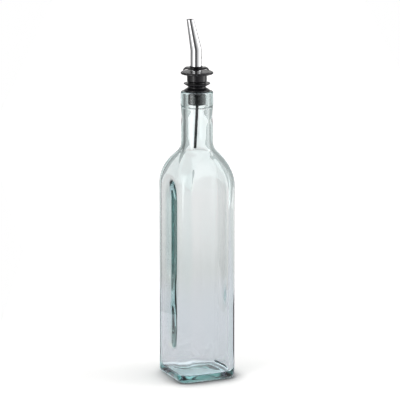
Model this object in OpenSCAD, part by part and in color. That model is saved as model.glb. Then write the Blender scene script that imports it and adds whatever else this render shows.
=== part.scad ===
// Square glass oil bottle with a finned stopper and a turning metal pouring spout.
// The bottle stands on z = 0 with its flat faces square to X and Y; the spout is turned by spout_yaw.

/* [Bottle body] */
// Width across the flat faces of the body
body_w = 58; // [54:0.5:64]
// Radius of the upright corners of the body
corner_r = 9.5; // [8:0.5:12]
// Radius of the heel where the sides turn under
heel_r = 4.5; // [3:0.5:6]
// Height where the upright sides end and the shoulder begins
shoulder_z = 184; // [160:1:190]
// Glass thickness of the flat sides
wall = 3; // [2.4:0.1:3.6]
// Glass thickness of the base at the edge of the floor
base_t = 6.5; // [5.5:0.5:9]
// Depth of the hollow under the base
punt_depth = 2.6; // [1:0.2:4]

/* [Neck and mouth] */
// Overall height of the glass, to the top of the lip
glass_h = 272; // [268:1:280]
// Outside radius of the neck above the shoulder
neck_r = 14.9; // [14.4:0.1:15.4]
// Radius of the slight waist below the lip
waist_r = 14.4; // [14:0.1:14.8]
// Outside radius of the lip band
lip_r = 15.15; // [15:0.05:15.6]
// Height of the lip band
lip_h = 14.5; // [12:0.5:16]
// Radius of the bore through the neck
bore_r = 10.85; // [10.6:0.05:11]

/* [Stopper] */
// Radius of the top flange
flange_r = 15.2; // [13:0.1:16]
// Thickness of the top flange
flange_t = 2.1; // [1.6:0.1:2.6]
// Radius of the barrel under the flange
barrel_r = 9.2; // [8.6:0.1:9.6]
// Radius of the stem between the fins
stem_r = 8.3; // [7.8:0.1:8.5]
// Tip radius of the upper sealing fin
fin_r = 12.4; // [11.8:0.1:12.8]
// Tip radius of the fin that sits on the mouth
seat_r = 11.9; // [11.5:0.05:12]
// Radius of the plug inside the neck
plug_r = 8.2; // [7.8:0.1:8.6]

/* [Spout] */
// Outside radius of the straight tube
tube_r = 5.2; // [5:0.1:5.4]
// Wall thickness of the tube
tube_wall = 0.5; // [0.4:0.05:0.6]
// Outside radius of the tube at its tip
tip_r = 3.25; // [3:0.05:3.6]
// Lean of the upper part of the spout from upright
lean = 10.9; // [6:0.1:14]
// Height where the tube begins to bend
bend_z = 309.2; // [307:0.1:312]
// Height of the level cut at the tip
tip_z = 338.6; // [330:0.2:342]
// Turned position of the spout about the upright axis
spout_yaw = -24; // [-180:1:180]
// How far the tube and its bore stand off the middle of the stopper
tube_off = 0.8; // [0:0.1:1]
// Outside radius of the breather tube
vent_r = 1.35; // [1.3:0.05:1.4]

/* [Collar] */
// Span of the collar across its two tabs, as a radius
tab_r = 12.1; // [11:0.1:12.6]
// Half width of the tabs where they meet the collar
tab_half_w = 6.2; // [6:0.1:6.6]
// Thickness of the tabs
tab_t = 1.6; // [1.1:0.1:1.7]

/* [Hidden] */
$fn = 96;
// Every loft ring has this many points; the first sits half a step from the X axis
ring_n = 48;
half_w = body_w / 2;
// Running gap around the turning tube
run_gap = 0.05;
// Height where the lofted body ends and the revolved neck begins
neck_z = 226;
// Drop and rise of the outer shoulder ellipse, and how far up it is followed
arch_drop = 30;
arch_rise = 40;
arch_end = 30.3;
// The same for the cavity, which starts a little lower
cav_z = shoulder_z - 1;
cav_drop = 28;
cav_rise = 37.5;
cav_end = 28.5;
cav_half = half_w - wall;
cav_corner = 11;
cav_fillet = 4;
// The cavity meets the bore just outside the bore's own radius
cav_neck = bore_r + 0.03;
loft_neck = neck_r - 0.07;
// Lip
lip_z = glass_h - lip_h;
lip_round = 1.6;
mouth_round = 1.3;
// Stopper levels
flange_z = 290 - flange_t;
barrel_z = 281.5;
fin_z = 279.6;
seat_z = glass_h + 0.2;
plug_z = 259.5;
ledge_z = 263.1;
ledge_r = 4.3;
// Spout
spout_z = ledge_z + 0.3;
bore_in = tube_r - tube_wall;
bend_r = 14;
// Thin ends that run this far inside the wall they join
lap = 0.05;
taper_len = (tip_z - bend_z - bend_r * sin(lean)) / cos(lean) + 1.5;
// Breather tube: lower end, tilt, start of its elbow
vent_bore = 0.95;
vent_x = -0.96;
vent_z = 218.1;
vent_tilt = 2.85;
vent_turn = 1.6;
vent_top_x = 3.2;
vent_top_z = vent_z + (vent_top_x - vent_x) / tan(vent_tilt);
vent_run = (vent_top_z - vent_z) / cos(vent_tilt);
// Collar
collar_z = 292;
collar_top = 295.2;

// Profile of an elliptical shoulder: half width at a rise h above its foot
function arch_at(a0, drop, rise, h) = a0 - drop * (1 - sqrt(1 - pow(h / rise, 2)));

// Angle of that profile from upright at a rise h
function arch_angle(drop, rise, h) = atan(drop * h / (rise * rise) / sqrt(1 - pow(h / rise, 2)));

// Corner radius that turns the square body into the round neck as the half width a shrinks
function blend(a, a_low, r_low, a_top) = a * (1 - (1 - r_low / a_low) * (a - a_top) / (a_low - a_top));

// Rings [half width, corner radius, height] of a shoulder with a hollow fillet into the neck
function shoulder(a0, r0, z0, drop, rise, h_end, a_top, z_top) =
    let (
        beta = arch_angle(drop, rise, h_end),
        a1 = arch_at(a0, drop, rise, h_end),
        fillet = (a1 - a_top) / (1 - cos(beta)),
        z1 = z0 + h_end + fillet * sin(beta)
    )
    concat(
        [for (k = [0:9])
            let (h = h_end * sin(9 * k + 4.5) / sin(85.5), a = arch_at(a0, drop, rise, h))
            [a, blend(a, a0, r0, a_top), z0 + h]],
        [for (k = [1:5])
            let (t = beta * (1 - k / 6), a = a_top + fillet * (1 - cos(t)))
            [a, blend(a, a0, r0, a_top), z1 - fillet * sin(t)]],
        [[a_top, a_top, z_top]]
    );

// Points of one ring, anticlockwise seen from above; its sides touch the true arcs and flats
function ring_points(ring) =
    [for (j = [0:ring_n - 1])
        let (t = (j + 0.5) * 360 / ring_n, flat = ring[0] - ring[1], r = ring[1] / cos(180 / ring_n))
        [sign(cos(t)) * flat + r * cos(t), sign(sin(t)) * flat + r * sin(t), ring[2]]];

// Outer skin from the middle of the underside to the top of the shoulder
outer_rings = concat(
    [[6, 5.9, punt_depth], [13, 9, punt_depth * 0.86], [18.5, 9, punt_depth * 0.45], [21.5, 7, 0]],
    [for (k = [0:5])
        let (inset = heel_r * (1 - sin(18 * k)))
        [half_w - inset, corner_r - inset, heel_r * (1 - cos(18 * k))]],
    shoulder(half_w, corner_r, shoulder_z, arch_drop, arch_rise, arch_end, loft_neck, neck_z)
);

// Cavity skin from the middle of the floor to the top of the shoulder
inner_rings = concat(
    [[6, 5.9, base_t + 0.8], [14, 9.6, base_t + 0.35]],
    [for (k = [0:5])
        let (inset = cav_fillet * (1 - sin(18 * k)))
        [cav_half - inset, cav_corner - inset, base_t + cav_fillet * (1 - cos(18 * k))]],
    shoulder(cav_half, cav_corner, cav_z, cav_drop, cav_rise, cav_end, cav_neck, neck_z)
);

// Closed glass shell: outer skin, flat ring at the top, cavity skin
module body_shell() {
    outer_n = len(outer_rings);
    inner_n = len(inner_rings);
    skin = concat(outer_rings, [for (k = [inner_n - 1:-1:0]) inner_rings[k]]);
    all_points = [for (ring = skin) for (p = ring_points(ring)) p];
    last = (outer_n + inner_n - 1) * ring_n;
    sides = [for (i = [0:outer_n + inner_n - 2])
        for (j = [0:ring_n - 1])
            let (low = i * ring_n, high = (i + 1) * ring_n, next = (j + 1) % ring_n)
            [low + j, high + j, high + next, low + next]];
    underside = [[for (j = [0:ring_n - 1]) j]];
    floor_face = [[for (j = [ring_n - 1:-1:0]) last + j]];
    polyhedron(points = all_points, faces = concat(sides, underside, floor_face), convexity = 6);
}

// Neck, waist and rounded lip, with the bore through them
module neck() {
    rotate_extrude()
        polygon(concat(
            [[bore_r, neck_z], [neck_r, neck_z], [neck_r, 238], [waist_r + 0.1, 244.5],
             [waist_r, 248], [waist_r + 0.1, 251.5], [neck_r - 0.05, lip_z - 0.6], [lip_r, lip_z]],
            [for (t = [0:15:90])
                [lip_r - lip_round * (1 - cos(t)), glass_h - lip_round * (1 - sin(t))]],
            [for (t = [90:-15:0])
                [bore_r + mouth_round * (1 - cos(t)), glass_h - mouth_round * (1 - sin(t))]]
        ));
}

module glass_bottle() {
    color([0.72, 0.86, 0.83])
        union() {
            body_shell();
            neck();
        }
}

// Places a piece that turns with the tube
module on_tube() {
    rotate([0, 0, spout_yaw])
        translate([-tube_off, 0, 0])
            children();
}

// Flange, barrel, two fins and plug, with a stepped bore that guides the tube
module stopper() {
    color([0.05, 0.05, 0.06])
        difference() {
            stopper_body();
            on_tube() {
                translate([0, 0, plug_z - 1])
                    cylinder(r = ledge_r, h = 10);
                translate([0, 0, ledge_z])
                    cylinder(r = tube_r + run_gap, h = 40);
            }
        }
}

module stopper_body() {
    rotate_extrude()
        polygon([
            [0, plug_z], [plug_r - 0.7, plug_z], [plug_r, plug_z + 0.7],
            [plug_r, seat_z - 2.5], [seat_r - 0.1, seat_z - 0.08], [seat_r, seat_z + 0.25],
            [seat_r - 0.25, seat_z + 1.05], [stem_r, seat_z + 3.1],
            [stem_r, fin_z - 3.2], [fin_r - 0.1, fin_z - 0.9], [fin_r, fin_z - 0.5],
            [fin_r - 0.3, fin_z - 0.1], [stem_r + 0.1, fin_z], [stem_r, fin_z + 0.6],
            [barrel_r, barrel_z], [barrel_r, flange_z - 0.4], [barrel_r + 0.5, flange_z],
            [flange_r - 0.5, flange_z], [flange_r, flange_z + 0.6],
            [flange_r, flange_z + flange_t - 0.8], [flange_r - 0.7, flange_z + flange_t],
            [0, flange_z + flange_t]
        ]);
}

// Wall of the tube between two radii, from the straight run to past the tip
module tube_walls() {
    rotate_extrude()
        translate([bore_in, spout_z])
            square([tube_wall, bend_z - spout_z]);
    translate([-bend_r, 0, bend_z])
        rotate([90, 0, 0])
            rotate_extrude(angle = lean)
                translate([bend_r, 0])
                    difference() {
                        circle(r = tube_r);
                        circle(r = bore_in);
                    }
    translate([-bend_r * (1 - cos(lean)), 0, bend_z + bend_r * sin(lean)])
        rotate([0, -lean, 0])
            rotate_extrude()
                polygon([
                    [bore_in + lap, -lap], [tube_r - lap, -lap],
                    [tip_r, taper_len], [tip_r - tube_wall, taper_len]
                ]);
}

module spout() {
    color([0.75, 0.76, 0.78])
        on_tube()
            difference() {
                tube_walls();
                // Level cut at the tip
                translate([-20, -20, tip_z])
                    cube([40, 40, 20]);
                // Air hole at the back that the breather tube ends in
                translate([3, 0, vent_top_z + vent_turn - vent_turn * sin(vent_tilt)])
                    rotate([0, 90, 0])
                        cylinder(r = vent_r, h = 6);
            }
}

// Straight length of breather tube standing on z = 0
module vent_length(h) {
    rotate_extrude()
        translate([vent_bore, 0])
            square([vent_r - vent_bore, h]);
}

// Inclined run, elbow and stub that ends in the air hole
module breather_tube() {
    elbow_x = vent_top_x + vent_turn * cos(vent_tilt);
    elbow_z = vent_top_z - vent_turn * sin(vent_tilt);
    color([0.05, 0.05, 0.06])
        on_tube()
            union() {
                translate([vent_x, 0, vent_z])
                    rotate([0, vent_tilt, 0])
                        vent_length(vent_run);
                translate([elbow_x, 0, elbow_z])
                    rotate([90, 0, 0])
                        rotate([0, 0, 87])
                            rotate_extrude(angle = 96 - vent_tilt)
                                translate([vent_turn, 0])
                                    difference() {
                                        circle(r = vent_r - lap);
                                        circle(r = vent_bore + lap);
                                    }
                translate([elbow_x, 0, elbow_z + vent_turn])
                    rotate([0, 90, 0])
                        vent_length(tube_r + 0.05 - elbow_x);
            }
}

// Ring with a flared top and two drooping finger tabs, pressed on the tube
module spout_collar() {
    tab_arc = (14 * 14 + tab_half_w * tab_half_w) / (2 * tab_half_w);
    color([0.05, 0.05, 0.06])
        on_tube()
            difference() {
                union() {
                    rotate_extrude()
                        polygon([
                            [tube_r - 0.6, collar_z], [5.9, collar_z], [6.1, collar_z + 0.4],
                            [5.7, collar_z + 1.9], [6, collar_top - 0.3], [5.85, collar_top],
                            [tube_r - 0.6, collar_top]
                        ]);
                    intersection() {
                        rotate([90, 0, 0])
                            linear_extrude(height = 16, center = true)
                                polygon(concat(
                                    [for (x = [-12:1:12]) [x, tab_top(x)]],
                                    [for (x = [12:-1:-12]) [x, tab_top(x) - tab_t]]
                                ));
                        translate([0, 0, 285])
                            cylinder(r = tab_r, h = 15);
                        translate([0, tab_arc - tab_half_w, 285])
                            cylinder(r = tab_arc, h = 15);
                        translate([0, tab_half_w - tab_arc, 285])
                            cylinder(r = tab_arc, h = 15);
                    }
                }
                translate([0, 0, 280])
                    cylinder(r = tube_r, h = 20);
            }
}

// Height of the top of the tabs at a distance x from the axis: a low wave with its crest at 8.3
function tab_top(x) =
    let (d = abs(x) - 8.3)
    d > 0 ? 294.25 - 0.14 * d * d : 294.25 - 0.03 * d * d;

glass_bottle();
stopper();
spout();
breather_tube();
spout_collar();
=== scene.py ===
"""Square glass oil bottle with a finned stopper and a turning steel spout, for Blender.

Lengths of the pieces are in millimetres up to make_object, which turns them into metres. The materials and
the stage are in metres from the start.
"""

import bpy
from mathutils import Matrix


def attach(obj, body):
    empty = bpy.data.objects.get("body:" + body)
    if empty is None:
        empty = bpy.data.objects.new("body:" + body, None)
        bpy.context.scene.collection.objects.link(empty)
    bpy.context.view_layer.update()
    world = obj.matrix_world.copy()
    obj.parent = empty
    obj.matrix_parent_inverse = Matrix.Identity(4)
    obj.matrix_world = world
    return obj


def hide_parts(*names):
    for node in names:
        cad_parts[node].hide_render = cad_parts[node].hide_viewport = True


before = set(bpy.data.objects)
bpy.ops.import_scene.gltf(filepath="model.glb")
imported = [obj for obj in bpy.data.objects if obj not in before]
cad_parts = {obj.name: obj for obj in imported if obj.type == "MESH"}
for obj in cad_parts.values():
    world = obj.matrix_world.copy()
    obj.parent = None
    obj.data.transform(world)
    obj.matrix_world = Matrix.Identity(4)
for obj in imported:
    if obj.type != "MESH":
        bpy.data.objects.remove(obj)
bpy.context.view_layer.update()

import math

import bpy
from mathutils import Vector, noise

MM = 0.001

# Bottle, as in the CAD
HALF_W, CORNER_R, HEEL_R = 29.0, 9.5, 4.5
SHOULDER_Z, NECK_Z, GLASS_H = 184.0, 226.0, 272.0
NECK_R, WAIST_R, LIP_R, LIP_Z = 14.9, 14.4, 15.15, 257.5
LIP_ROUND, MOUTH_ROUND, BORE_R = 1.6, 1.3, 10.85
PUNT_DEPTH, BASE_T = 2.6, 6.5
# Drop, rise and end height of the arc of the shoulder, outside and inside
ARCH = (30.0, 40.0, 30.3)
CAVITY_ARCH = (28.0, 37.5, 28.5)

# Pourer, as in the CAD
TUBE_R, TUBE_WALL, TIP_R = 5.2, 0.5, 3.25
LEAN, BEND_Z, BEND_R, TIP_Z, SPOUT_Z = 10.9, 309.2, 14.0, 338.6, 263.4
YAW, TUBE_OFF = -24.0, 0.8
VENT_R, VENT_BORE, VENT_TURN = 1.35, 0.95, 1.6
VENT_X, VENT_Z, VENT_TILT, VENT_TOP_X = -0.96, 218.1, 2.85, 3.2
TAB_R, TAB_HALF_W, TAB_T, COLLAR_Z, COLLAR_TOP = 12.1, 6.2, 1.6, 292.0, 295.2


# ---------------------------------------------------------------- mesh helpers

# Edges between faces that meet at more degrees than this stay crisp
CRISP = 40
# Largest share of an edge that a fillet may take up
FILLET_SHARE = 0.48


def make_object(name, points, faces, sharp=None):
    """An object from points in millimetres; edges steeper than sharp degrees stay crisp."""
    mesh = bpy.data.meshes.new(name)
    mesh.from_pydata([(x * MM, y * MM, z * MM) for x, y, z in points], [], faces)
    mesh.validate()
    mesh.update()
    mesh.shade_smooth()
    if sharp is not None:
        mesh.set_sharp_from_angle(angle=math.radians(sharp))
    obj = bpy.data.objects.new(name, mesh)
    bpy.context.scene.collection.objects.link(obj)
    return obj


def skin(name, rings, loop=False, poles=None, sharp=None):
    """A surface through equal rings. loop joins the last ring to the first; poles closes both ends."""
    count = len(rings[0])
    points = [p for ring in rings for p in ring]
    faces = []
    for i in range(len(rings) if loop else len(rings) - 1):
        low, high = i * count, (i + 1) % len(rings) * count
        for j in range(count):
            k = (j + 1) % count
            faces.append((low + j, low + k, high + k, high + j))
    if poles is not None:
        last = (len(rings) - 1) * count
        first_pole, last_pole = len(points), len(points) + 1
        points += list(poles)
        for j in range(count):
            k = (j + 1) % count
            faces.append((k, j, first_pole))
            faces.append((last + j, last + k, last_pole))
    return make_object(name, points, faces, sharp)


def rounded(path, steps=4):
    """A closed profile of (r, z, fillet) corners as points, each fillet an arc of a few steps."""
    profile = []
    for i, (x, z, radius) in enumerate(path):
        here = Vector((x, z))
        back = Vector(path[i - 1][:2]) - here
        ahead = Vector(path[(i + 1) % len(path)][:2]) - here
        half = back.angle(ahead) / 2
        reach = min(radius / math.tan(half), back.length * FILLET_SHARE, ahead.length * FILLET_SHARE)
        radius = reach * math.tan(half)
        centre = here + (back.normalized() + ahead.normalized()).normalized() * (radius / math.sin(half))
        a = here + back.normalized() * reach - centre
        b = here + ahead.normalized() * reach - centre
        turn = a.angle_signed(b)
        for k in range(steps + 1):
            t = -turn * k / steps
            c, s = math.cos(t), math.sin(t)
            profile.append((centre.x + a.x * c - a.y * s, centre.y + a.x * s + a.y * c))
    return profile


def dense(profile, gap):
    """The same closed profile with long stretches cut into pieces no longer than gap."""
    cut = []
    for i, a in enumerate(profile):
        b = profile[(i + 1) % len(profile)]
        pieces = max(1, math.ceil(math.dist(a, b) / gap))
        for k in range(pieces):
            cut.append((a[0] + (b[0] - a[0]) * k / pieces, a[1] + (b[1] - a[1]) * k / pieces))
    return cut


def lathe(name, profile, count, shift):
    """A closed profile of (r, z) turned about Z. shift gives each point (r, z, angle) a small move."""
    rings = []
    for r, z in profile:
        ring = []
        for j in range(count):
            t = 2 * math.pi * j / count
            dx, dy, dz = shift(r, z, t)
            ring.append((r * math.cos(t) + dx, r * math.sin(t) + dy, z + dz))
        rings.append(ring)
    return skin(name, rings, loop=True)


def turned(points):
    """Points of the tube's own frame, where the spout leans along -X, moved to the stored position."""
    c, s = math.cos(math.radians(YAW)), math.sin(math.radians(YAW))
    return [((x - TUBE_OFF) * c - y * s, (x - TUBE_OFF) * s + y * c, z) for x, y, z in points]


def frange(a, b, steps):
    """Numbers from a to b in even steps, both ends included."""
    return [a + (b - a) * k / steps for k in range(steps + 1)]


def quarter(steps):
    """Angles of a quarter circle in even steps, both ends included."""
    return [math.radians(90 * k / steps) for k in range(steps + 1)]


def smooth(a, b, x):
    """0 below a, 1 above b, smooth between; a may be the larger."""
    t = min(1.0, max(0.0, (x - a) / (b - a)))
    return t * t * (3 - 2 * t)


def hump(s):
    """A smooth rise: 1 at the middle, where s is 0, and 0 at the edge, where s is 1."""
    return 0.5 + 0.5 * math.cos(math.pi * s)


# ---------------------------------------------------------------- glass

# Points round the bottle, and how strongly they crowd towards the corners of the square
ROUND_N, CROWDING = 256, 0.11
# Rows of points up the body, down the cavity, over a shoulder, round the heel and round the lip
BODY_STEPS, CAVITY_STEPS, SHOULDER_STEPS, HEEL_STEPS, LIP_STEPS = 60, 120, 22, 12, 8

# Hollow under the base: half width, how far it has turned square there, and rows; then the foot's rows
PUNT_HALF, PUNT_SQUARE, PUNT_STEPS = 21.5, 0.674, 12
FOOT_ROWS = [(PUNT_HALF, 7.0, 0.0), (23.0, 6.0, 0.0)]

# Neck: height and spread of its slight waist, how far under LIP_Z its plain part ends, and rows
WAIST_Z, WAIST_SPREAD, NECK_END, NECK_STEPS = 248, 5.5, 0.9, 26
# Groove, as (inset from the neck, height over LIP_Z), then the band's foot, as (inset from the lip, same)
GROOVE = [(0.05, -0.8), (0.25, -0.55), (0.38, -0.3), (0.36, -0.1), (0.1, 0.1)]
BAND_FOOT = [(0.12, 0.3), (0.02, 0.6), (0.0, 1.0)]
BAND_ROWS = (262.0, 266.0, 269.5)

# Cavity: mean wall, corner radius, fillet round the floor, and where the plain bore starts and ends
WALL, CAVITY_R, CAVITY_FILLET = 3.0, 9.0, 2.6
BORE_START, BORE_END, BORE_STEPS = 270.0, 228.0, 42
CAVITY_SHOULDER_Z = SHOULDER_Z - 1
# Its floor: how far it has turned square at the edge, its rise to the last row and the middle, and rows
FLOOR_SQUARE, FLOOR_RISE, FLOOR_PEAK, FLOOR_STEPS = 0.73, 0.8, 0.85, 11
# How much of the fillet's inset comes off the corner radius
CORNER_SHARE = 0.8

# Walls beside the corners: thickness, and how much is added below the wave where the glass settled
WALL_ABOVE, WALL_EXTRA, WAVE_TOP, WAVE_FOOT = 2.7, 0.6, 88, 62
# Corner radius of the cavity at its back right, back left, front left and front right corner
CAVITY_CORNERS = (7.5, 8.2, 9.3, 9.6)
# Heights over which the wall's own shape fades in above the floor and out at the shoulder
SHAPED_FOOT, SHAPED_TOP = (12, 24), (212, 180)
# Share of the half width where a swelling starts, and what is left of it up to the wall
FACE_FROM, FACE_REST = 0.55, 0.45
# How far each wall swells into the cavity: outward direction, half width, then (height, swelling) stops
SWELLS = [
    ((-1, 0), 9.9, [
        (26, 0.0), (38, 2.4), (50, 4.2), (62, 3.8), (76, 2.2), (90, 2.2), (108, 3.8), (125, 4.4),
        (170, 4.6), (196, 0.0),
    ]),
    ((0, -1), 12.6, [(14, 0.0), (40, 1.2), (120, 1.6), (185, 1.6), (220, 0.0)]),
    ((1, 0), 11.4, [(14, 0.0), (54, 0.6), (72, 1.5), (92, 0.7), (185, 0.8), (220, 0.0)]),
    ((0, 1), 7.6, [(14, 0.0), (40, 1.5), (120, 4.0), (185, 4.0), (220, 0.0)]),
]

# Unevenness of blown glass outside: its heights, how quickly it varies round and up, and its depth
SKIN_FOOT, SKIN_TOP, SKIN_ROUND, SKIN_UP, SKIN_DEPTH = 6, 255, 0.035, 0.018, 0.05
# The same inside, from another place in the noise, and how much it lifts the floor between two heights
INNER_ROUND, INNER_UP, INNER_START, INNER_DEPTH = 0.05, 0.016, 7, 0.15
FLOOR_DEPTH, FLOOR_CALM, FLOOR_WAVY = 0.25, 30, 10


def ring_angles():
    """Polar angles of a ring's points, closer together near the square's corners than on its flats."""
    even = [2 * math.pi * (j + 0.5) / ROUND_N for j in range(ROUND_N)]
    return [u + CROWDING * math.sin(4 * u) for u in even]


ANGLES = ring_angles()


def square_radius(half, corner, t):
    """Distance from the axis to a rounded square at polar angle t."""
    c, s = abs(math.cos(t)), abs(math.sin(t))
    if s > c:
        c, s = s, c
    flat = half - corner
    if half * s <= flat * c:
        return half / c
    m = flat * (c + s)
    return m + math.sqrt(max(0.0, m * m - 2 * flat * flat + corner * corner))


def shoulder(half, corner, foot, arch, top, steps):
    """(half width, corner radius, z) from the foot of the shoulder to where it meets the neck."""
    drop, rise, end = arch
    root = math.sqrt(1 - (end / rise) ** 2)
    beta = math.atan(drop * end / rise**2 / root)
    fillet = (half - drop * (1 - root) - top) / (1 - math.cos(beta))
    z_top = foot + end + fillet * math.sin(beta)

    def corner_at(a):
        """Corner radius at half width a: the body's own at the foot, a full circle at the neck."""
        return a * (1 - (1 - corner / half) * (a - top) / (half - top))

    rows = []
    for t in quarter(steps)[1:]:
        h = end * math.sin(t)
        a = half - drop * (1 - math.sqrt(1 - (h / rise) ** 2))
        rows.append((a, corner_at(a), foot + h))
    for k in range(1, steps // 2 + 1):
        t = beta * (1 - 2 * k / steps)
        a = top + fillet * (1 - math.cos(t))
        rows.append((a, corner_at(a), z_top - fillet * math.sin(t)))
    return rows


def neck_outside():
    """(r, z) of the neck from the shoulder to the band under the lip, with its slight waist."""
    rows = []
    for z in frange(NECK_Z, LIP_Z - NECK_END, NECK_STEPS):
        dip = math.exp(-(((z - WAIST_Z) / WAIST_SPREAD) ** 2))
        rows.append((NECK_R - (NECK_R - WAIST_R) * dip, z))
    rows += [(NECK_R - inset, LIP_Z + z) for inset, z in GROOVE]
    rows += [(LIP_R - inset, LIP_Z + z) for inset, z in BAND_FOOT]
    rows += [(LIP_R, z) for z in BAND_ROWS]
    return rows


def outer_rows():
    """(half width, corner radius, z) from the middle of the underside over the heel and up to the lip."""
    rows = []
    for k in range(1, PUNT_STEPS):
        s = k / PUNT_STEPS
        rows.append((PUNT_HALF * s, PUNT_HALF * s * (1 - PUNT_SQUARE * s), PUNT_DEPTH * hump(s)))
    rows += FOOT_ROWS
    for t in quarter(HEEL_STEPS):
        inset = HEEL_R * (1 - math.sin(t))
        rows.append((HALF_W - inset, CORNER_R - inset, HEEL_R * (1 - math.cos(t))))
    rows += [(HALF_W, CORNER_R, z) for z in frange(HEEL_R, SHOULDER_Z, BODY_STEPS)[1:]]
    rows += shoulder(HALF_W, CORNER_R, SHOULDER_Z, ARCH, NECK_R, SHOULDER_STEPS)
    rows += [(r, r, z) for r, z in neck_outside()]
    for t in quarter(LIP_STEPS):
        r = LIP_R - LIP_ROUND * (1 - math.cos(t))
        rows.append((r, r, GLASS_H - LIP_ROUND * (1 - math.sin(t))))
    return rows


def inner_rows():
    """(half width, corner radius, z) from the mouth down the bore and the cavity to the floor's middle."""
    rows = []
    for t in quarter(LIP_STEPS)[1:]:
        r = BORE_R + MOUTH_ROUND * (1 - math.sin(t))
        rows.append((r, r, GLASS_H - MOUTH_ROUND * (1 - math.cos(t))))
    rows += [(BORE_R, BORE_R, z) for z in frange(BORE_START, BORE_END, BORE_STEPS)]
    half = HALF_W - WALL
    rows += shoulder(half, CAVITY_R, CAVITY_SHOULDER_Z, CAVITY_ARCH, BORE_R, SHOULDER_STEPS)[::-1]
    floor_edge = BASE_T + CAVITY_FILLET
    rows += [(half, CAVITY_R, z) for z in frange(CAVITY_SHOULDER_Z, floor_edge, CAVITY_STEPS)[:-1]]
    for t in quarter(HEEL_STEPS):
        inset = CAVITY_FILLET * (1 - math.cos(t))
        z = BASE_T + CAVITY_FILLET * (1 - math.sin(t))
        rows.append((half - inset, CAVITY_R - inset * CORNER_SHARE, z))
    flat = half - CAVITY_FILLET
    for k in range(1, FLOOR_STEPS):
        s = 1 - k / FLOOR_STEPS
        rows.append((flat * s, flat * s * (1 - FLOOR_SQUARE * s), BASE_T + FLOOR_RISE * hump(s)))
    return rows


def outer_ring(row):
    """Points of one row outside, with the faintly uneven skin of blown glass, only ever inwards."""
    a, r, z = row
    ring = []
    for t in ANGLES:
        rho = square_radius(a, r, t)
        x, y = rho * math.cos(t), rho * math.sin(t)
        if SKIN_FOOT < z < SKIN_TOP:
            swell = 0.5 + 0.5 * noise.noise(Vector((x * SKIN_ROUND, y * SKIN_ROUND, z * SKIN_UP)))
            k = 1 - SKIN_DEPTH * swell / rho
            x, y = x * k, y * k
        ring.append((x, y, z))
    return ring


def swelling(stops, z):
    """Swelling of a wall at height z between (height, swelling) stops, eased."""
    for (z0, v0), (z1, v1) in zip(stops, stops[1:]):
        if z <= z1:
            return v0 + (v1 - v0) * smooth(z0, z1, max(z, z0))
    return stops[-1][1]


def inner_ring(row):
    """Points of one row inside, with each corner's own radius and each wall's swelling."""
    a, r, z = row
    body = smooth(*SHAPED_TOP, z) * smooth(*SHAPED_FOOT, z)
    wall = WALL_ABOVE + WALL_EXTRA * smooth(WAVE_TOP, WAVE_FOOT, z)
    extra = (wall - WALL) * body
    ring = []
    for t in ANGLES:
        corner = r + (CAVITY_CORNERS[int(t / (math.pi / 2)) % 4] - CAVITY_R) * body
        rho = square_radius(a - extra, corner, t)
        x, y = rho * math.cos(t), rho * math.sin(t)
        for (ux, uy), spread, stops in SWELLS:
            out, along = x * ux + y * uy, x * uy - y * ux
            near = max(0.0, out / a - FACE_FROM) / FACE_REST
            push = swelling(stops, z) * math.exp(-((along / spread) ** 2)) * near
            x, y = x - ux * push, y - uy * push
        uneven = noise.noise(Vector((x * INNER_ROUND + INNER_START, y * INNER_ROUND, z * INNER_UP)))
        k = 1 - body * INNER_DEPTH * uneven / rho
        ring.append((x * k, y * k, z + FLOOR_DEPTH * uneven * smooth(FLOOR_CALM, FLOOR_WAVY, z)))
    return ring


def build_glass():
    """The bottle as one skin: up the outside, over the lip and down the inside."""
    rings = [outer_ring(row) for row in outer_rows()] + [inner_ring(row) for row in inner_rows()]
    return skin("bottle_glass", rings, poles=[(0, 0, PUNT_DEPTH), (0, 0, BASE_T + FLOOR_PEAK)])


# ---------------------------------------------------------------- stopper

# Half section from the inner ledge round plug, fins, barrel and flange to the bore: (r, z, fillet)
STOPPER_PATH = [
    (4.3, 259.5, 0.3), (7.5, 259.5, 0.7), (8.2, 260.3, 0.6), (8.2, 269.7, 1.0),
    (11.8, 272.12, 0.15), (11.9, 272.5, 0.25), (11.65, 273.25, 0.25), (8.3, 275.3, 0.9),
    (8.3, 276.4, 0.9), (12.3, 278.7, 0.2), (12.4, 279.1, 0.2), (12.1, 279.5, 0.2),
    (8.4, 279.6, 0.3), (8.3, 280.2, 0.3), (9.2, 281.5, 0.5), (9.2, 287.5, 0.4),
    (9.7, 287.9, 0.5), (14.7, 287.9, 0.4), (15.2, 288.5, 0.4), (15.2, 289.2, 0.6),
    (14.5, 290.0, 0.6), (6.1, 290.0, 0.3), (5.25, 289.4, 0.2), (5.25, 263.1, 0.2), (4.3, 263.1, 0.2),
]
STOPPER_N, STOPPER_GAP = 160, 1.2
# Radii between which the shape moves from its own axis to the bore's, in the body and on the top face
SHIFT_BODY, SHIFT_TOP, TOP_FACE_Z = (7.4, 5.3), (7.4, 6.0), 289
# Upper fin: its heights, the radii over which it starts to wave, and the height and phase of the wave
FIN_FOOT, FIN_TOP, FIN_WAVES, FIN_WAVE, FIN_PHASE = 276.5, 279.8, (9.0, 12.4), 0.1, 0.8


def stopper_shift(r, z, t):
    """The bore stands off the middle, and the soft upper fin is never quite flat."""
    bore_x, bore_y, _ = turned([(0, 0, 0)])[0]
    near = smooth(*(SHIFT_TOP if z > TOP_FACE_Z else SHIFT_BODY), r)
    lift = 0
    if FIN_FOOT < z < FIN_TOP:
        lift = smooth(*FIN_WAVES, r) * FIN_WAVE * math.sin(2 * t + FIN_PHASE)
    return bore_x * near, bore_y * near, lift


def build_stopper():
    """The soft black moulding, turned from its half section."""
    profile = dense(rounded(STOPPER_PATH), STOPPER_GAP)
    return lathe("stopper_moulding", profile, STOPPER_N, stopper_shift)


# ---------------------------------------------------------------- spout and breather tube

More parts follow.
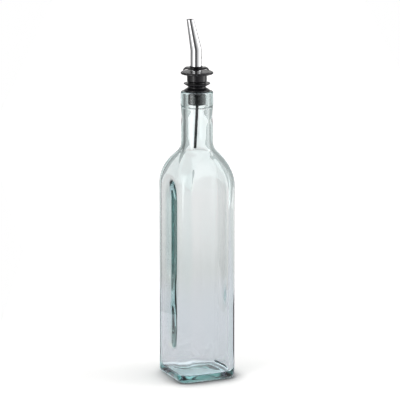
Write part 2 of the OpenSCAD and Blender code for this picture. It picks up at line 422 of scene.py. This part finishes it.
# Points round the spout, the turn between two of them, and their distance along the surface
SPOUT_N = 96
SPOUT_STEP = 2 * math.pi / SPOUT_N
PITCH = TUBE_R * SPOUT_STEP
# Rings below the air hole, above it, round the bend and up the leaning arm
BELOW_STEPS, ABOVE_STEPS, BEND_STEPS, ARM_STEPS = 24, 5, 8, 30
# How far above SPOUT_Z the lower end stands, and how far the arm is drawn past its cut
SEAT_GAP, OVERSHOOT = 0.15, 1.5
# Faces from the middle of the air hole to the edge of its patch, and how far in the loops round it stand
HOLE_HALF, HOLE_LOOPS = 6, (0.35, 0.65, 0.88, 1.0)
# Breather tube: points round it, steps up its leg and round its turn, how proud its end is, and its play
VENT_N, LEG_STEPS, TURN_STEPS, VENT_PROUD, VENT_PLAY = 32, 31, 12, 0.05, 0.02


def spout_rings(r_base, r_tip):
    """Rings of one skin from the foot of the bend to the level cut, in the spout's own frame."""
    angles = [2 * math.pi * j / SPOUT_N for j in range(SPOUT_N)]

    def across(centre, side, r):
        """A circle of radius r round centre, in the plane of side and Y."""
        return [centre + side * r * math.cos(t) + Vector((0, r * math.sin(t), 0)) for t in angles]

    def on_bend(a):
        """Middle of the tube where it has bent through angle a, and the direction across it there."""
        centre = Vector((-BEND_R * (1 - math.cos(a)), 0, BEND_Z + BEND_R * math.sin(a)))
        return centre, Vector((math.cos(a), 0, math.sin(a)))

    lean = math.radians(LEAN)
    rings = [across(*on_bend(lean * k / BEND_STEPS), r_base) for k in range(1, BEND_STEPS + 1)]
    top, side = on_bend(lean)
    axis = Vector((-math.sin(lean), 0, math.cos(lean)))
    length = (TIP_Z - top.z) / axis.z + OVERSHOOT
    base = across(top, side, r_base)
    tip = across(top + axis * length, side, r_tip)
    for k in range(1, ARM_STEPS + 1):
        ring = []
        for low, high in zip(base, tip):
            cut = low + (high - low) * ((TIP_Z - low.z) / (high.z - low.z))
            ring.append(low + (cut - low) * (k / ARM_STEPS))
        rings.append(ring)
    return rings


def upright_levels(hole_z):
    """Heights of the rings below the bend, and which of them the patch round the air hole starts at."""
    reach = HOLE_HALF * PITCH
    below = frange(SPOUT_Z + SEAT_GAP, hole_z - reach, BELOW_STEPS)
    patch = frange(hole_z - reach, hole_z + reach, 2 * HOLE_HALF)[1:]
    above = frange(hole_z + reach, BEND_Z, ABOVE_STEPS)[1:]
    return below + patch + above, len(below) - 1


def patch_edge():
    """Edge of the patch as (rings, points) away from the middle of the air hole, once round."""
    half = HOLE_HALF
    edge = [(i, -half) for i in range(half, -half, -1)]
    edge += [(-half, i) for i in range(-half, half)]
    edge += [(i, half) for i in range(-half, half)]
    edge += [(half, i) for i in range(half, -half, -1)]
    return edge


def close_on_hole(points, quad, loop, r, hole_z):
    """Faces from the square edge of the patch to the round air hole. Returns the points of its rim."""
    for s in HOLE_LOOPS:
        fresh = []
        for v, u in patch_edge():
            flat = Vector((u * PITCH, v * PITCH))
            p = flat.lerp(flat.normalized() * VENT_R, s)
            y = p.x * r / TUBE_R if s < 1 else p.x
            fresh.append(len(points))
            points.append((math.sqrt(r * r - y * y), y, hole_z + p.y))
        for m in range(len(loop)):
            n = (m + 1) % len(loop)
            quad(loop[m], fresh[m], fresh[n], loop[n])
        loop = fresh
    return loop


def add_spout_skin(points, faces, r, r_tip, hole_z, inward):
    """Add one skin with its air hole. Returns its first point, its number of rings and the hole's rim."""
    levels, first = upright_levels(hole_z)
    start = len(points)
    for z in levels:
        turns = [j * SPOUT_STEP for j in range(SPOUT_N)]
        points.extend((r * math.cos(t), r * math.sin(t), z) for t in turns)
    for ring in spout_rings(r, r_tip):
        points.extend(tuple(p) for p in ring)
    rows = (len(points) - start) // SPOUT_N

    def quad(a, b, c, d):
        faces.append((a, d, c, b) if inward else (a, b, c, d))

    for i in range(rows - 1):
        for j in range(SPOUT_N):
            k = (j + 1) % SPOUT_N
            beside = (j + HOLE_HALF) % SPOUT_N < 2 * HOLE_HALF
            if first <= i < first + 2 * HOLE_HALF and beside:
                continue
            a = start + i * SPOUT_N
            quad(a + j, a + k, a + SPOUT_N + k, a + SPOUT_N + j)
    middle = start + (first + HOLE_HALF) * SPOUT_N
    loop = [middle + v * SPOUT_N + (u % SPOUT_N) for v, u in patch_edge()]
    return start, rows, close_on_hole(points, quad, loop, r, hole_z)


def build_spout():
    """A thin tube of two skins, joined at both ends and round the air hole low on its back."""
    hole_z = vent_path()[1]
    points, faces = [], []
    out_start, rows, out_rim = add_spout_skin(points, faces, TUBE_R, TIP_R, hole_z, False)
    in_r, in_tip = TUBE_R - TUBE_WALL, TIP_R - TUBE_WALL
    in_start, _, in_rim = add_spout_skin(points, faces, in_r, in_tip, hole_z, True)
    for m in range(len(out_rim)):
        n = (m + 1) % len(out_rim)
        faces.append((out_rim[m], in_rim[m], in_rim[n], out_rim[n]))
    out_top, in_top = out_start + (rows - 1) * SPOUT_N, in_start + (rows - 1) * SPOUT_N
    for j in range(SPOUT_N):
        k = (j + 1) % SPOUT_N
        faces.append((out_start + k, out_start + j, in_start + j, in_start + k))
        faces.append((out_top + j, out_top + k, in_top + k, in_top + j))
    return make_object("spout_tube", turned(points), faces, sharp=CRISP)


def vent_path():
    """((x, z), heading) points of the breather tube in the spout's own frame, and the hole's height."""
    tilt = math.radians(VENT_TILT)
    top_z = VENT_Z + (VENT_TOP_X - VENT_X) / math.tan(tilt)
    turn_x, turn_z = VENT_TOP_X + VENT_TURN * math.cos(tilt), top_z - VENT_TURN * math.sin(tilt)
    hole_z = turn_z + VENT_TURN
    route = []
    for k in range(LEG_STEPS):
        s = k / LEG_STEPS
        at = (VENT_X + (VENT_TOP_X - VENT_X) * s, VENT_Z + (top_z - VENT_Z) * s)
        route.append((at, math.pi / 2 - tilt))
    for k in range(TURN_STEPS + 1):
        a = math.pi - tilt - (math.pi / 2 - tilt) * k / TURN_STEPS
        at = (turn_x + VENT_TURN * math.cos(a), turn_z + VENT_TURN * math.sin(a))
        route.append((at, a - math.pi / 2))
    route.append(((TUBE_R + VENT_PROUD, hole_z), 0.0))
    return route, hole_z


def build_breather():
    """A thin tube from the air hole down through spout and stopper into the neck."""

    def circle(at, heading, r):
        ring = []
        for j in range(VENT_N):
            t = 2 * math.pi * j / VENT_N
            side, y = r * math.cos(t), r * math.sin(t)
            ring.append((at[0] + side * math.sin(heading), y, at[1] - side * math.cos(heading)))
        return ring

    route = vent_path()[0]
    rings = [circle(at, heading, VENT_R) for at, heading in route[:-1]]
    # The last ring has play in the air hole
    rings.append(circle(*route[-1], VENT_R - VENT_PLAY))
    rings += [circle(at, heading, VENT_BORE) for at, heading in route[::-1]]
    return skin("breather", [turned(ring) for ring in rings], loop=True, sharp=CRISP)


# ---------------------------------------------------------------- collar

COLLAR_N, TAB_STEPS, TAB_END_STEPS = 180, 10, 8
# Radius of the ring under its flare, and how far outside it the underside of a tab starts
HUB_R, HUB_LEAN = 5.75, 0.1
# Two arcs bound the tabs: how far out they would meet, and how sharply the tabs are cut short of that
TAB_POINT, TAB_CUT = 14.0, 3
# Crest of a tab: distance from the axis, height, and how fast the tab falls away outside and inside of it
CREST_X, CREST_Z, FALL_OUT, FALL_IN = 8.3, 294.25, 0.14, 0.03
COLLAR_FOOT = [
    (TUBE_R, COLLAR_Z + 0.15), (TUBE_R + 0.15, COLLAR_Z), (HUB_R, COLLAR_Z), (5.9, COLLAR_Z + 0.2),
]
COLLAR_FLARE = [
    (5.66, 294.55), (5.78, 294.75), (5.97, 294.95), (5.98, 295.08), (5.88, COLLAR_TOP),
    (TUBE_R + 0.2, COLLAR_TOP), (TUBE_R, COLLAR_TOP - 0.15),
]


def tab_top(x):
    """Height of the top of a tab at distance x from the axis."""
    d = abs(x) - CREST_X
    return CREST_Z - (FALL_OUT if d > 0 else FALL_IN) * d * d


def tab_reach(t):
    """Distance from the axis to the edge of the collar at polar angle t."""
    arc = (TAB_POINT**2 + TAB_HALF_W**2) / (2 * TAB_HALF_W)
    rim = arc - TAB_HALF_W
    leaf = -rim * abs(math.sin(t)) + math.sqrt(arc**2 - (rim * math.cos(t)) ** 2)
    return -math.log(math.exp(-TAB_CUT * (leaf - TAB_R)) + 1) / TAB_CUT + TAB_R


def collar_profile(t):
    """(r, z) outline at polar angle t: foot, underside of the tab, its end, its top and the flare."""
    c = abs(math.cos(t))
    edge = TAB_T / 2
    end = tab_reach(t) - edge
    under, over = [], []
    for k in range(TAB_STEPS + 1):
        s = k / TAB_STEPS
        r = HUB_R + (end - HUB_R) * s
        over.append((r, tab_top(r * c)))
        under.append((r + HUB_LEAN * (1 - s), tab_top(r * c) - TAB_T))
    tip = []
    for k in range(1, TAB_END_STEPS):
        a = math.pi * k / TAB_END_STEPS
        r = end + edge * math.sin(a)
        tip.append((r, tab_top(r * c) - edge - edge * math.cos(a)))
    return COLLAR_FOOT + under + tip + over[::-1] + COLLAR_FLARE


def build_collar():
    """A ring with a flared top whose skirt grows into two drooping tabs."""
    columns = []
    for j in range(COLLAR_N):
        t = 2 * math.pi * j / COLLAR_N
        columns.append([(r * math.cos(t), r * math.sin(t), z) for r, z in collar_profile(t)])
    return skin("collar", [turned(ring) for ring in zip(*columns)], loop=True)


# ---------------------------------------------------------------- node helpers


def material(name, **values):
    """A new material, with values set on its shader's sockets."""
    mat = bpy.data.materials.new(name)
    mat.use_nodes = True
    nodes = mat.node_tree.nodes
    shader = nodes["Principled BSDF"]
    fill(shader, values)
    return mat, nodes, mat.node_tree.links, shader


def fill(node, values):
    """Set a node's settings and sockets by name; an underscore stands for a space in a socket's name."""
    for key, value in values.items():
        if hasattr(node, key):
            setattr(node, key, value)
        else:
            node.inputs[key.replace("_", " ")].default_value = value


def add(nodes, kind, **values):
    """A new node of a kind, with its settings and sockets filled in."""
    node = nodes.new(kind)
    fill(node, values)
    return node


def ramp(nodes, links, amount, stops):
    """Colour from an amount by (place, colour) stops, where a single number stands for a grey."""
    node = nodes.new("ShaderNodeValToRGB")
    while len(node.color_ramp.elements) < len(stops):
        node.color_ramp.elements.new(0.5)
    for element, (place, colour) in zip(node.color_ramp.elements, stops):
        element.position = place
        element.color = (*colour, 1) if isinstance(colour, tuple) else (colour, colour, colour, 1)
    links.new(amount, node.inputs["Fac"])
    return node.outputs["Color"]


def own_coords(nodes):
    """Coordinates that stay with the object."""
    return nodes.new("ShaderNodeTexCoord").outputs["Object"]


def stretched(nodes, links, coords, scale_z):
    """Coordinates in which a texture is drawn out along Z."""
    node = add(nodes, "ShaderNodeMapping", Scale=(1.0, 1.0, scale_z))
    links.new(coords, node.inputs["Vector"])
    return node.outputs["Vector"]


def mottle(nodes, links, coords, scale, detail):
    """Amount of a noise texture."""
    node = add(nodes, "ShaderNodeTexNoise", Scale=scale, Detail=detail)
    links.new(coords, node.inputs["Vector"])
    return node.outputs["Fac"]


def bump(nodes, links, height, shader, strength, distance):
    """Fine relief on the shader; distance is in metres."""
    node = add(nodes, "ShaderNodeBump", Strength=strength, Distance=distance)
    links.new(height, node.inputs["Height"])
    links.new(node.outputs["Normal"], shader.inputs["Normal"])


# ---------------------------------------------------------------- materials

# What the glass keeps of red, green and blue, and how strongly it does so per metre
GLASS_STAIN, GLASS_DENSITY = (0.19, 0.65, 0.63, 1), 28.0
# Stops over a noise texture, as (place, colour or grey)
GLASS_TINT = [(0.3, 0.965), (0.7, 0.99)]
STEEL_SHADE = [(0.3, (0.74, 0.745, 0.76)), (0.7, (0.83, 0.83, 0.84))]
STEEL_ROUGH = [(0.3, 0.055), (0.75, 0.13)]
PLASTIC_SHADE = [(0.3, (0.004, 0.004, 0.005)), (0.75, (0.011, 0.011, 0.013))]
PLASTIC_ROUGH = [(0.3, 0.16), (0.75, 0.3)]


def glass_material():
    """Clear glass that is green where light goes a long way through it."""
    mat, nodes, links, shader = material("green_glass", Transmission_Weight=1.0, IOR=1.52, Roughness=0.0)
    coords = own_coords(nodes)
    tint = mottle(nodes, links, coords, scale=14.0, detail=3.0)
    links.new(ramp(nodes, links, tint, GLASS_TINT), shader.inputs["Base Color"])
    # Long soft ripples left by blowing
    wave = mottle(nodes, links, stretched(nodes, links, coords, scale_z=0.35), scale=45.0, detail=2.0)
    bump(nodes, links, wave, shader, strength=0.1, distance=0.0002)
    absorb = add(nodes, "ShaderNodeVolumeAbsorption", Color=GLASS_STAIN, Density=GLASS_DENSITY)
    links.new(absorb.outputs["Volume"], nodes["Material Output"].inputs["Volume"])
    return mat


def steel_material():
    """Polished steel with faint smudges and a fine grain along the tube."""
    mat, nodes, links, shader = material("polished_steel", Metallic=1.0)
    coords = own_coords(nodes)
    smudge = mottle(nodes, links, coords, scale=60.0, detail=3.0)
    links.new(ramp(nodes, links, smudge, STEEL_SHADE), shader.inputs["Base Color"])
    links.new(ramp(nodes, links, smudge, STEEL_ROUGH), shader.inputs["Roughness"])
    grain = mottle(nodes, links, stretched(nodes, links, coords, scale_z=0.04), scale=900.0, detail=4.0)
    bump(nodes, links, grain, shader, strength=0.12, distance=0.00002)
    return mat


def plastic_material():
    """Black plastic, blotchy in shade and gloss, with a fine grain."""
    mat, nodes, links, shader = material("black_plastic")
    coords = own_coords(nodes)
    blotch = mottle(nodes, links, coords, scale=120.0, detail=4.0)
    links.new(ramp(nodes, links, blotch, PLASTIC_SHADE), shader.inputs["Base Color"])
    links.new(ramp(nodes, links, blotch, PLASTIC_ROUGH), shader.inputs["Roughness"])
    grain = mottle(nodes, links, coords, scale=1500.0, detail=2.0)
    bump(nodes, links, grain, shader, strength=0.1, distance=0.00003)
    return mat


# ---------------------------------------------------------------- stage

# Camera, fitted to the bottle's outline: azimuth, pitch and distance, the point it looks at, and its lens
CAM_AZ, CAM_PITCH, CAM_DIST = math.radians(-24.2), math.radians(12.2), 2.241
CAM_SIDE, CAM_Z = 0.00285, 0.1687
LENS_MM, SENSOR_MM, SEES_TO = 216.0, 36.0, 50.0

# Outline of the table top in metres, x to the camera's right and y away from it
TABLE_TOP = [
    (-0.5, -1.2), (0.9, -1.2), (0.75, 0.3), (0.34, 1.0), (0.34, 3.0), (-0.3, 3.0), (-0.3, 1.2),
    (-0.2, 0.5), (-0.2, 0.1), (-0.5, -0.05),
]
# Its colour as the camera sees it, and as glass and steel pick it up by metres behind the bottle, with
# painted shade near the bottle and painted light further back
TABLE_SEEN = (1.55, 1.54, 1.53, 1)
TABLE_PAINTED_FALLOFF = [
    (0.2, (1.03, 0.985, 1.05)), (0.42, (1.05, 1.005, 1.0)), (0.6, (1.23, 1.165, 1.16)),
    (0.78, (1.32, 1.235, 1.23)), (0.92, (1.3, 1.24, 1.24)), (1.0, (1.5, 1.46, 1.46)),
]
# Pool of light under the bottle: its radii in metres, and how much brighter it is than the rest
POOL_FULL, POOL_GONE, POOL_GAIN = 0.028, 0.044, 3.0
# Line of shade where the bottle stands: its reach in metres, and its colours from hidden to open sky
SHADE_REACH, SHADE_SAMPLES = 0.016, 8
SHADE_STOPS = [(0.35, (0.2, 0.195, 0.2)), (0.62, (0.42, 0.42, 0.43)), (0.95, (1.0, 1.0, 1.0))]
# Strength of that shade left and right of the bottle, and the places between which it changes
SHADE_LEFT, SHADE_RIGHT, SHADE_FROM, SHADE_TO = 0.1, 1.0, -0.045, -0.015

# Brightness of the room at degrees round from the camera, right positive
ROOM = [
    (-180, 0.62), (-160, 0.6), (-140, 0.3), (-124, 0.2), (-108, 0.2), (-90, 0.4), (-62, 0.9), (-50, 1.0),
    (-46, 3.6), (-38, 3.6), (-34, 1.6), (-24, 0.8), (-17, 0.35), (-9, 0.06), (6, 0.06), (23, 0.3),
    (44, 0.8), (68, 1.1), (78, 1.8), (84, 2.8), (100, 2.8), (108, 1.6), (118, 0.8), (132, 0.45),
    (155, 0.45), (180, 0.62),
]
# Colours that take over from the walls, and the sines of the heights between which they do
CEILING, CEILING_FROM, CEILING_TO = (0.7, 0.7, 0.7, 1), 0.42, 0.82
GROUND, GROUND_FROM, GROUND_TO = (0.95, 0.96, 0.97, 1), -0.27, -0.37

# How often light may bounce: in and between the walls of the bottle, off the steel, and straight through
GLASS_BOUNCES, STEEL_BOUNCES, CLEAR_BOUNCES = 24, 8, 16


def build_camera():
    """A long lens in front of the bottle and a little above it."""
    right = Vector((math.cos(CAM_AZ), math.sin(CAM_AZ), 0))
    ahead = Vector((-math.sin(CAM_AZ), math.cos(CAM_AZ), 0))
    look = ahead * math.cos(CAM_PITCH) - Vector((0, 0, math.sin(CAM_PITCH)))
    target = right * CAM_SIDE + Vector((0, 0, CAM_Z))
    data = bpy.data.cameras.new("camera")
    data.sensor_width = SENSOR_MM
    data.lens = LENS_MM
    data.clip_end = SEES_TO
    cam = bpy.data.objects.new("camera", data)
    cam.location = target - look * CAM_DIST
    cam.rotation_euler = look.to_track_quat("-Z", "Y").to_euler()
    bpy.context.scene.collection.objects.link(cam)
    bpy.context.scene.camera = cam


def squared_up(nodes, links, coords):
    """Coordinates turned so that X runs along the front of the stage and Y to its back."""
    spin = add(nodes, "ShaderNodeMapping", Rotation=(0, 0, -CAM_AZ))
    split = nodes.new("ShaderNodeSeparateXYZ")
    links.new(coords, spin.inputs["Vector"])
    links.new(spin.outputs["Vector"], split.inputs["Vector"])
    return split.outputs


def floor_colour(nodes, links, coords, place, seen):
    """Plain white where the camera sees it; dimmer for glass and steel, with painted shade near the
    bottle, painted light further back and a pool of light.
    """
    # Painted shade near the bottle and painted light further back, by metres behind it
    fade = ramp(nodes, links, place["Y"], TABLE_PAINTED_FALLOFF)
    away = add(nodes, "ShaderNodeVectorMath", operation="LENGTH")
    pool = add(nodes, "ShaderNodeMapRange", interpolation_type="SMOOTHSTEP", From_Min=POOL_FULL,
               From_Max=POOL_GONE, To_Min=POOL_GAIN, To_Max=1.0)
    glow = add(nodes, "ShaderNodeVectorMath", operation="SCALE")
    tone = add(nodes, "ShaderNodeMixRGB", Color2=TABLE_SEEN)
    links.new(coords, away.inputs[0])
    links.new(away.outputs["Value"], pool.inputs["Value"])
    links.new(fade, glow.inputs[0])
    links.new(pool.outputs["Result"], glow.inputs["Scale"])
    links.new(seen, tone.inputs["Fac"])
    links.new(glow.outputs["Vector"], tone.inputs["Color1"])
    return tone.outputs["Color"]


def shaded(nodes, links, colour, place, seen):
    """Clear glass hides little of the sky, so the dark line where it stands is drawn by nearness."""
    near = add(nodes, "ShaderNodeAmbientOcclusion", samples=SHADE_SAMPLES, Distance=SHADE_REACH)
    edge = ramp(nodes, links, near.outputs["AO"], SHADE_STOPS)
    side = add(nodes, "ShaderNodeMapRange", From_Min=SHADE_FROM, From_Max=SHADE_TO, To_Min=SHADE_LEFT,
               To_Max=SHADE_RIGHT)
    amount = add(nodes, "ShaderNodeMath", operation="MULTIPLY")
    shade = add(nodes, "ShaderNodeMixRGB", blend_type="MULTIPLY")
    links.new(place["X"], side.inputs["Value"])
    links.new(side.outputs["Result"], amount.inputs[0])
    links.new(seen, amount.inputs[1])
    links.new(amount.outputs["Value"], shade.inputs["Fac"])
    links.new(colour, shade.inputs["Color1"])
    links.new(edge, shade.inputs["Color2"])
    return shade.outputs["Color"]


def build_floor():
    """A pale table top, squared up with the camera: short in front of the bottle and long behind it."""
    c, s = math.cos(CAM_AZ), math.sin(CAM_AZ)
    mesh = bpy.data.meshes.new("floor")
    points = [(x * c - y * s, x * s + y * c, 0) for x, y in TABLE_TOP]
    mesh.from_pydata(points, [], [range(len(points))])
    floor = bpy.data.objects.new("floor", mesh)
    bpy.context.scene.collection.objects.link(floor)
    mat, nodes, links, shader = material("pale_floor", Roughness=0.9, Specular_IOR_Level=0.1)
    coords = own_coords(nodes)
    place = squared_up(nodes, links, coords)
    seen = nodes.new("ShaderNodeLightPath").outputs["Is Camera Ray"]
    colour = floor_colour(nodes, links, coords, place, seen)
    links.new(shaded(nodes, links, colour, place, seen), shader.inputs["Base Color"])
    mesh.materials.append(mat)


def wall_colour(nodes, links, way):
    """Brightness of the room by how far round from the camera a direction is, as 0 to 1 round the room."""
    flip = add(nodes, "ShaderNodeMath", operation="MULTIPLY")
    flip.inputs[1].default_value = -1.0
    angle = add(nodes, "ShaderNodeMath", operation="ARCTAN2")
    share = add(nodes, "ShaderNodeMath", operation="MULTIPLY_ADD")
    share.inputs[1].default_value = 0.5 / math.pi
    share.inputs[2].default_value = 0.5
    links.new(way["Y"], flip.inputs[0])
    links.new(way["X"], angle.inputs[0])
    links.new(flip.outputs[0], angle.inputs[1])
    links.new(angle.outputs[0], share.inputs[0])
    return ramp(nodes, links, share.outputs[0], [(0.5 + degrees / 360, grey) for degrees, grey in ROOM])


def give_way(nodes, links, colour, height, start, end, plain):
    """A colour that gives way to a plain one as height goes from start to end."""
    step = add(nodes, "ShaderNodeMapRange", interpolation_type="SMOOTHSTEP", From_Min=start, From_Max=end)
    mix = add(nodes, "ShaderNodeMixRGB", Color2=plain)
    links.new(height, step.inputs["Value"])
    links.new(step.outputs["Result"], mix.inputs["Fac"])
    links.new(colour, mix.inputs["Color1"])
    return mix.outputs["Color"]


def build_world():
    """A studio with a dark opening round the camera, and a plain white backdrop for what it sees."""
    world = bpy.data.worlds.new("studio")
    world.use_nodes = True
    bpy.context.scene.world = world
    nodes, links = world.node_tree.nodes, world.node_tree.links
    nodes.clear()
    way = squared_up(nodes, links, nodes.new("ShaderNodeTexCoord").outputs["Generated"])
    room = wall_colour(nodes, links, way)
    room = give_way(nodes, links, room, way["Z"], CEILING_FROM, CEILING_TO, CEILING)
    room = give_way(nodes, links, room, way["Z"], GROUND_FROM, GROUND_TO, GROUND)
    lit = nodes.new("ShaderNodeBackground")
    backdrop = add(nodes, "ShaderNodeBackground", Color=(1, 1, 1, 1))
    path = nodes.new("ShaderNodeLightPath")
    mix = nodes.new("ShaderNodeMixShader")
    out = nodes.new("ShaderNodeOutputWorld")
    links.new(room, lit.inputs["Color"])
    links.new(path.outputs["Is Camera Ray"], mix.inputs["Fac"])
    links.new(lit.outputs["Background"], mix.inputs[1])
    links.new(backdrop.outputs["Background"], mix.inputs[2])
    links.new(mix.outputs["Shader"], out.inputs["Surface"])


def finish_look():
    """Plain colours, and enough bounces for light to find its way through the bottle."""
    scene = bpy.context.scene
    scene.view_settings.view_transform = "Standard"
    scene.view_settings.look = "None"
    scene.cycles.use_denoising = True
    scene.cycles.max_bounces = GLASS_BOUNCES
    scene.cycles.transmission_bounces = GLASS_BOUNCES
    scene.cycles.glossy_bounces = STEEL_BOUNCES
    scene.cycles.transparent_max_bounces = CLEAR_BOUNCES


def main():
    """Build the pieces, put each on its body in place of its CAD node, and set the stage."""
    glass, steel, plastic = glass_material(), steel_material(), plastic_material()
    made = [
        (build_glass(), "bottle", ("glass_bottle",), glass, "green_glass"),
        (build_stopper(), "stopper", ("stopper",), plastic, "black_plastic"),
        (build_spout(), "pouring_spout", ("spout",), steel, "polished_steel"),
        (build_breather(), "pouring_spout", ("breather_tube",), plastic, "black_plastic"),
        (build_collar(), "pouring_spout", ("spout_collar",), plastic, "black_plastic"),
    ]
    for obj, body, nodes, mat, slot in made:
        obj.data.materials.append(mat)
        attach(obj, body)
        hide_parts(*nodes)
    build_camera()
    build_floor()
    build_world()
    finish_look()


main()
